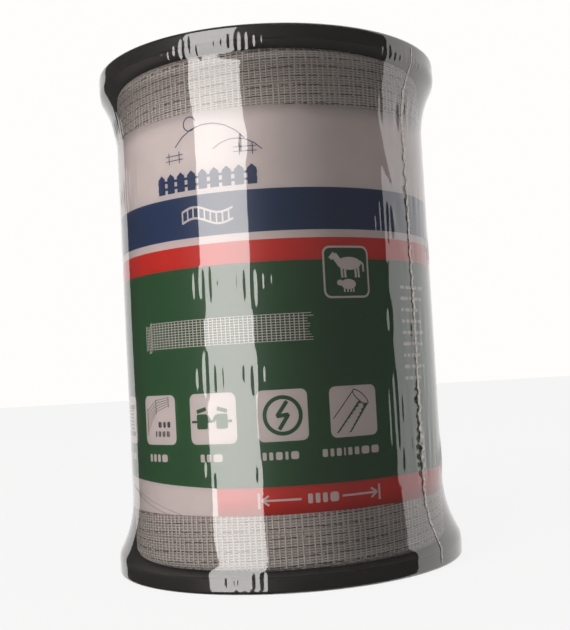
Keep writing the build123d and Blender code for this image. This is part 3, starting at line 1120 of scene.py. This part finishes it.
@dataclass
class FilmSleeve:
    """The shrink film: a waisted sleeve from rim to rim, turned in over both ends.

    Its profile is the CAD film's: a shoulder of one radius and a hollow of another meet at the lean
    where both are tangent. Every point then moves along the profile's normal by the wrinkles there.
    """

    rim: float
    waist: float
    lower_face: float
    upper_face: float
    top: float
    opening: float = 50.0 * MM
    neck: float = 22.5 * MM
    shoulder: float = 8.0 * MM
    corner: float = 1.25 * MM
    columns: int = 760
    seam_across: float = 56.0 * MM
    layout: float = 59.0 * MM
    seed: int = 21
    groups: tuple[WrinkleGroup, ...] = (
        WrinkleGroup(-15.0, 180.6, 24, 2.25, 7.5, 0.24),
        WrinkleGroup(50.0, 179.8, 10, 2.4, 8.0, 0.2),
        WrinkleGroup(-17.0, 101.0, 13, 2.6, 17.0, 0.22),
        WrinkleGroup(-22.0, 69.5, 13, 2.8, 16.0, 0.2),
        WrinkleGroup(-30.0, 40.5, 2, 2.4, 8.0, 0.15),
        WrinkleGroup(-16.0, 37.0, 7, 2.6, 9.0, 0.12),
        WrinkleGroup(-13.5, 4.2, 6, 2.4, 6.5, 0.3),
        WrinkleGroup(-11.0, 149.0, 5, 3.6, 9.0, 0.1),
        WrinkleGroup(41.0, 122.0, 5, 2.4, 26.0, 0.15),
        WrinkleGroup(39.0, 56.0, 6, 2.6, 34.0, 0.16),
        WrinkleGroup(43.0, 88.0, 3, 4.0, 14.0, 0.2),
    )

    def profile(self) -> tuple[np.ndarray, np.ndarray, np.ndarray]:
        """Radius, height and share turned in, from the lower opening's edge to the upper one's."""
        lean = 2 * np.arctan((self.rim - self.waist) / self.neck)
        hollow = self.neck / np.sin(lean) - self.shoulder
        flat = np.linspace(self.opening, self.rim - self.corner, 9)
        turn = np.linspace(-np.pi / 2, 0, 6)[1:]
        wall = np.linspace(self.corner, self.lower_face, 4)[1:]
        swing = np.linspace(0, lean, 7)[1:]
        sweep = np.linspace(lean, 0, 15)[1:]
        start = self.lower_face + self.neck
        radius = np.concatenate(
            [
                flat,
                self.rim - self.corner + self.corner * np.cos(turn),
                np.full(3, self.rim),
                self.rim - self.shoulder + self.shoulder * np.cos(swing),
                self.waist + hollow - hollow * np.cos(sweep),
            ]
        )
        height = np.concatenate(
            [
                np.zeros(9),
                self.corner + self.corner * np.sin(turn),
                wall,
                self.lower_face + self.shoulder * np.sin(swing),
                start - hollow * np.sin(sweep),
            ]
        )
        middle = np.linspace(start, self.top - start, 54)[1:-1]
        radius = np.concatenate([radius, np.full(52, self.waist), radius[::-1]])
        height = np.concatenate([height, middle, self.top - height[::-1]])
        turned = np.clip((self.rim - self.corner - radius) / (self.rim - self.corner - self.opening), 0, 1)
        ends = np.minimum(height, self.top - height) < self.corner / 2
        return radius, height, np.where(ends, turned, 0.0)

    def lenses(self, group: WrinkleGroup, across: np.ndarray, height: np.ndarray) -> np.ndarray:
        """Depth of one group: sin^2 over each pitch, times (1 - (h / l)^2)^1.5 along each wrinkle."""
        rng = np.random.default_rng(self.seed + int(group.height * 10) + group.count)
        girth = TURN * self.layout / MM
        x = (across - group.across + girth / 2) % girth - girth / 2
        number = np.floor(x / group.pitch + group.count / 2).astype(int)
        inside = (number >= 0) & (number < group.count)
        number = np.clip(number, 0, group.count - 1)
        share = x / group.pitch + group.count / 2 - number
        place = (np.arange(group.count) + 0.5) / group.count * 2 - 1
        length = group.length / 2 * rng.uniform(0.65, 1.1, group.count) * np.sqrt(1 - 0.75 * place**2)
        shift = rng.uniform(-0.12, 0.12, group.count) * group.length
        depth = group.depth * rng.uniform(0.5, 1.15, group.count)
        along = (height - group.height - shift[number]) / length[number]
        lens = np.clip(1 - along**2, 0, 1) ** 1.5
        return inside * depth[number] * lens * np.sin(np.pi * share) ** 2

    def seam_line(self, height: np.ndarray) -> np.ndarray:
        """Where the weld lies across the layout at a height, in metres."""
        rng = np.random.default_rng(self.seed)
        drift = 1.0 * MM * smooth_noise(rng, height, 0.4, 6)
        return self.seam_across - 1.0 * MM + drift

    def ridge(
        self, across: np.ndarray, height: np.ndarray, start: Halves, end: Halves, width: float
    ) -> np.ndarray:
        """A crease: a Gaussian of the distance from the line between two points, 1 on the line."""
        direction = np.array(end) - np.array(start)
        length = np.hypot(*direction)
        unit = direction / length
        along = (across - start[0]) * unit[0] + (height - start[1]) * unit[1]
        away = (across - start[0]) * unit[1] - (height - start[1]) * unit[0]
        bend = 0.04 * length * np.sin(np.pi * np.clip(along / length, 0, 1))
        inside = np.clip(4 * along / length, 0, 1) * np.clip(4 - 4 * along / length, 0, 1)
        return inside * np.exp(-(((away - bend) / width) ** 2))

    def relief(self, across: np.ndarray, height: np.ndarray) -> np.ndarray:
        """Height of all wrinkles over the smooth sleeve, in millimetres, rows by columns."""
        rng = np.random.default_rng(self.seed + 1)
        girth = TURN * self.layout / MM
        total = np.zeros(np.broadcast(across, height).shape)
        for group in self.groups:
            total += self.lenses(group, across, height)
        for number in range(14):
            place = rng.uniform(62, girth - 62)
            level = rng.choice([180.4, 165.0, 140.0, 115.0, 84.0, 62.0, 36.0, 4.4])
            length = 7.0 if level in (180.4, 4.4) else rng.uniform(12, 24)
            total += self.lenses(WrinkleGroup(place, level, 6 + number % 9, 2.7, length, 0.2), across, height)
        for start, end, depth, width in (
            ((-68.0, 30.0), (-67.0, 150.0), 0.35, 1.6),
            ((-74.0, 24.0), (-76.0, 120.0), 0.3, 1.4),
            ((-62.0, 92.0), (-63.0, 158.0), 0.14, 1.1),
            ((-31.0, 118.0), (-33.5, 144.0), 0.12, 1.0),
            ((-9.0, 41.0), (-1.0, 27.0), 0.16, 0.7),
            ((-5.0, 44.0), (1.5, 32.0), 0.14, 0.7),
            ((44.0, 128.0), (52.0, 108.0), 0.3, 1.2),
            ((42.0, 152.0), (51.0, 128.0), 0.25, 1.1),
        ):
            total += depth * self.ridge(across, height, start, end, width)
        seam = across - self.seam_line(height * MM) / MM
        seam = (seam + girth / 2) % girth - girth / 2
        pull = np.zeros_like(total)
        for _ in range(7):
            wave, climb = rng.uniform(2.6, 6.0), rng.uniform(24, 90) * rng.choice([-1, 1])
            pull += np.sin(TURN * (seam / wave + height / climb) + rng.uniform(0, TURN))
        gate = np.clip(0.5 + smooth_noise(rng, height, 190.0, 7, 2), 0, 1)
        body = np.clip((height - 8) / 14, 0, 1) * np.clip((179 - height) / 10, 0, 1)
        total += 0.07 * pull * gate * body * np.exp(-np.abs(seam) / 6.5)
        for waves, longest, strength in ((5, 2, 0.12), (9, 9, 0.03)):
            broad = smooth_noise(rng, across + 0 * height, girth, waves, longest)
            slow = smooth_noise(rng, height + 0 * across, 230.0, 4, 1)
            total += strength * broad * (0.6 + 0.4 * slow) * body
        return total

    def sleeve_mesh(self) -> Grids:
        """The film itself: the profile swept round the axis, moved by the relief, puckered at its ends."""
        radius, height, turned = self.profile()
        slope = np.stack([np.gradient(radius), np.gradient(height)])
        slope /= np.linalg.norm(slope, axis=0)
        across = np.linspace(0, TURN * self.layout, self.columns, endpoint=False)
        relief = self.relief(across[None] / MM, height[:, None] / MM) * MM
        relief *= (1 - np.clip(turned * 8, 0, 1))[:, None]
        rng = np.random.default_rng(self.seed + 2)
        girth = TURN * self.layout
        pleat = 0.5 + 0.5 * np.sin(across / self.layout * 44 + 1.5 * smooth_noise(rng, across, girth, 8))
        edge = smooth_noise(rng, across, girth, 14)
        fold = turned[:, None] ** 1.5
        relief = relief - 0.55 * MM * fold * pleat[None]
        inward = 2.2 * MM * fold * edge[None]
        full = radius[:, None] + relief * slope[1][:, None] - inward
        level = height[:, None] - relief * slope[0][:, None]
        points = on_cylinder(across[None], level, full, self.layout)
        faces = grid_faces(len(radius), self.columns, wrap=True)
        flat = points.reshape(-1, 3)
        return flat, outwards(flat, faces)

    def seam_mesh(self) -> Grids:
        """The weld: a thin flattened bead down the sleeve, ragged in width and crimped from side to side."""
        radius, height, turned = self.profile()
        body = turned == 0
        rng = np.random.default_rng(self.seed + 3)
        level = np.linspace(2.0 * MM, self.top - 2.0 * MM, 560)
        centre = self.seam_line(level)
        quiet = np.clip((self.upper_face - 6 * MM - level) / (12 * MM), 0, 1)
        quiet = quiet * np.clip(level / (20 * MM), 0, 1)
        crimp = smooth_noise(rng, level, 0.2, 14, 28) * (0.4 + 0.6 * np.abs(smooth_noise(rng, level, 0.2, 5)))
        centre = centre + 0.75 * MM * crimp * quiet
        width = 0.28 * MM + quiet * MM * (0.22 + 0.3 * np.abs(smooth_noise(rng, level, 0.2, 20, 30)))
        relief = self.relief(centre[None] / MM, level[None] / MM)[0] * MM
        out = np.interp(level, height[body], radius[body]) + relief + 0.18 * MM
        out = out + 0.35 * MM * quiet * np.abs(smooth_noise(rng, level, 0.2, 16, 24))
        path = on_cylinder(centre, level, out, self.layout)[None]
        angle = centre / self.layout
        side = np.stack([np.cos(angle), np.sin(angle), 0 * angle], -1)[None]
        outer = np.stack([np.sin(angle), -np.cos(angle), 0 * angle], -1)[None]
        return tubes(path, side * width[None, :, None], outer * 0.16 * MM, 8)

    def build(self) -> None:
        """Make the sleeve and its weld."""
        film = ShrinkFilm().material()
        piece("film_sleeve", self.sleeve_mesh(), film, ("shrink_film",))
        piece("film_weld", self.seam_mesh(), WeldedFilm().material())


# Studio --------------------------------------------------------------------------------------------


@dataclass
class Studio:
    """A white room: pale floor, tall window-shaped lamp at the left, and a dark screen behind the camera."""

    eye: tuple[float, float, float] = (0.0, -0.38184, 0.06954)
    heading: float = 0.035
    tilt: float = 0.055
    roll: float = -0.056
    lens: float = 55.9
    shift: tuple[float, float] = (-0.0459, 0.0092)
    window_azimuth: float = -34.9
    window_distance: float = 0.9
    window_size: tuple[float, float] = (0.57, 1.15)
    window_height: float = 0.22
    window_power: float = 6.6
    fill: float = 0.42
    screen_span: tuple[float, float] = (-136.0, 86.0)
    screen_radius: float = 1.3
    screen_glow: float = 0.07
    floor_half: float = 4.0
    floor_glow_share: float = 0.86

    def background_share(self, tree: bpy.types.NodeTree) -> Socket:
        """1 for rays that see the background: from the camera, off gloss or through clear stuff."""
        path = add(tree, "LightPath")
        seen = path.outputs["Is Camera Ray"]
        for kind in ("Is Glossy Ray", "Is Transmission Ray"):
            seen = add(tree, "Math", {0: seen, 1: path.outputs[kind]}, operation="MAXIMUM").outputs[0]
        return seen

    def light_world(self) -> None:
        """White where it is seen, and a soft neutral fill where it only lights."""
        world = bpy.data.worlds.new("studio_world")
        world.use_nodes = True
        tree = world.node_tree
        tree.nodes.clear()
        output = add(tree, "OutputWorld")
        level = add(
            tree,
            "MapRange",
            {"Value": self.background_share(tree), "To Min": self.fill, "To Max": 1.0},
        )
        white = (1.0, 0.985, 0.975, 1.0)
        back = add(tree, "Background", {"Color": white, "Strength": level.outputs["Result"]})
        tree.links.new(back.outputs[0], output.inputs["Surface"])
        bpy.context.scene.world = world

    def lay_floor(self) -> None:
        """Pale floor that keeps a faint shadow of the spool."""
        mesh = bpy.data.meshes.new("studio_floor")
        half = self.floor_half
        corners = [(-half, -half, 0.0), (half, -half, 0.0), (half, half, 0.0), (-half, half, 0.0)]
        mesh.from_pydata(corners, [], [(0, 1, 2, 3)])
        material, tree, output = new_material("studio_floor_white")
        card = add(tree, "BsdfDiffuse", {"Color": linear("f2f1f0")})
        glow = add(tree, "Emission", {"Color": (1.0, 1.0, 1.0, 1.0), "Strength": 1.0})
        seen = self.background_share(tree)
        share = add(tree, "Math", {0: seen, 1: self.floor_glow_share}, operation="MULTIPLY")
        shader = add(tree, "MixShader", {0: share.outputs[0], 1: card.outputs[0], 2: glow.outputs[0]})
        finish_surface(tree, output, shader)
        mesh.materials.append(material)
        floor = bpy.data.objects.new("studio_floor", mesh)
        floor.visible_glossy = False
        bpy.context.scene.collection.objects.link(floor)

    def hang_screen(self) -> None:
        """Dark screen on the camera's side, seen only in reflections: part of a sphere of 1.3 m."""
        start, end = np.radians(self.screen_span)
        azimuth = np.linspace(start, end, 48)[None]
        rise = np.radians(np.linspace(-85, 85, 24))[:, None]
        radius = self.screen_radius
        points = np.empty((24, 48, 3))
        points[..., 0] = radius * np.cos(rise) * np.sin(azimuth)
        points[..., 1] = -radius * np.cos(rise) * np.cos(azimuth)
        points[..., 2] = 0.1 + radius * np.sin(rise)
        mesh = bpy.data.meshes.new("studio_screen")
        mesh.from_pydata(points.reshape(-1, 3).tolist(), [], grid_faces(24, 48).tolist())
        material, tree, output = new_material("studio_screen_dark")
        dark = add(tree, "Emission", {"Color": (1.0, 0.98, 0.96, 1.0), "Strength": self.screen_glow})
        finish_surface(tree, output, dark)
        mesh.materials.append(material)
        screen = bpy.data.objects.new("studio_screen", mesh)
        screen.visible_camera = False
        screen.visible_diffuse = False
        screen.visible_shadow = False
        screen.visible_transmission = False
        bpy.context.scene.collection.objects.link(screen)

    def hang_window(self) -> None:
        """Tall rectangular lamp: it lights the front from the left and shows as an upright bright strip."""
        lamp = bpy.data.lights.new("window_lamp", "AREA")
        lamp.shape = "RECTANGLE"
        lamp.size, lamp.size_y = self.window_size
        lamp.energy = self.window_power
        lamp.color = (1.0, 0.975, 0.955)
        holder = bpy.data.objects.new("window_lamp", lamp)
        azimuth = np.radians(self.window_azimuth)
        place = Vector((np.sin(azimuth), -np.cos(azimuth), 0.0)) * self.window_distance
        place.z = self.window_height
        aim = Vector((0.0, 0.0, self.window_height)) - place
        holder.matrix_world = Matrix.Translation(place) @ aim.to_track_quat("-Z", "Y").to_matrix().to_4x4()
        bpy.context.scene.collection.objects.link(holder)

    def place_camera(self) -> None:
        """Camera in front of the spool, at a third of its height, looking slightly up and rolled."""
        forward = np.array(
            [
                np.sin(self.heading) * np.cos(self.tilt),
                np.cos(self.heading) * np.cos(self.tilt),
                np.sin(self.tilt),
            ]
        )
        right = np.array([np.cos(self.heading), -np.sin(self.heading), 0.0])
        up = np.cross(right, forward)
        rolled_right = right * np.cos(self.roll) + up * np.sin(self.roll)
        rolled_up = up * np.cos(self.roll) - right * np.sin(self.roll)
        camera = bpy.data.cameras.new("product_camera")
        camera.lens = self.lens
        camera.sensor_width = 36.0
        camera.shift_x, camera.shift_y = self.shift
        camera.clip_start = 0.01
        holder = bpy.data.objects.new("product_camera", camera)
        columns = np.eye(4)
        columns[:3, :4] = np.stack([rolled_right, rolled_up, -forward, np.array(self.eye)], -1)
        holder.matrix_world = Matrix(columns.tolist())
        bpy.context.scene.collection.objects.link(holder)
        bpy.context.scene.camera = holder

    def build(self) -> None:
        """Set the room, the lamp and the camera."""
        self.light_world()
        self.lay_floor()
        self.hang_screen()
        self.hang_window()
        self.place_camera()
        bpy.context.scene.view_settings.view_transform = "Standard"


def main() -> None:
    """Build every sub-assembly in order, from the inside out."""
    logging.basicConfig(level=logging.INFO, format="%(message)s")
    pack_low, pack_high = node_box("tape_inner_layers")
    tape_high = node_box("tape_outer_layer")[1]
    label_low, label_high = node_box("label_wrap")
    tube_low, tube_high = node_box("core_tube")
    film_high = node_box("shrink_film")[1]
    Spool().dress()
    WovenTape(
        bottom=float(pack_low[2]),
        top=float(pack_high[2]),
        radius=float(tape_high[0]),
        label_bottom=float(label_low[2]),
        label_top=float(label_high[2]),
    ).build()
    PrintedLabel(
        bottom=float(label_low[2]),
        top=float(label_high[2]),
        radius=float(label_high[0]),
    ).build()
    FilmSleeve(
        rim=float(film_high[0]),
        waist=float(label_high[0]) + 0.43 * MM,
        lower_face=float(tube_low[2]),
        upper_face=float(tube_high[2]),
        top=float(film_high[2]),
    ).build()
    Studio().build()


if __name__ == "__main__":
    main()
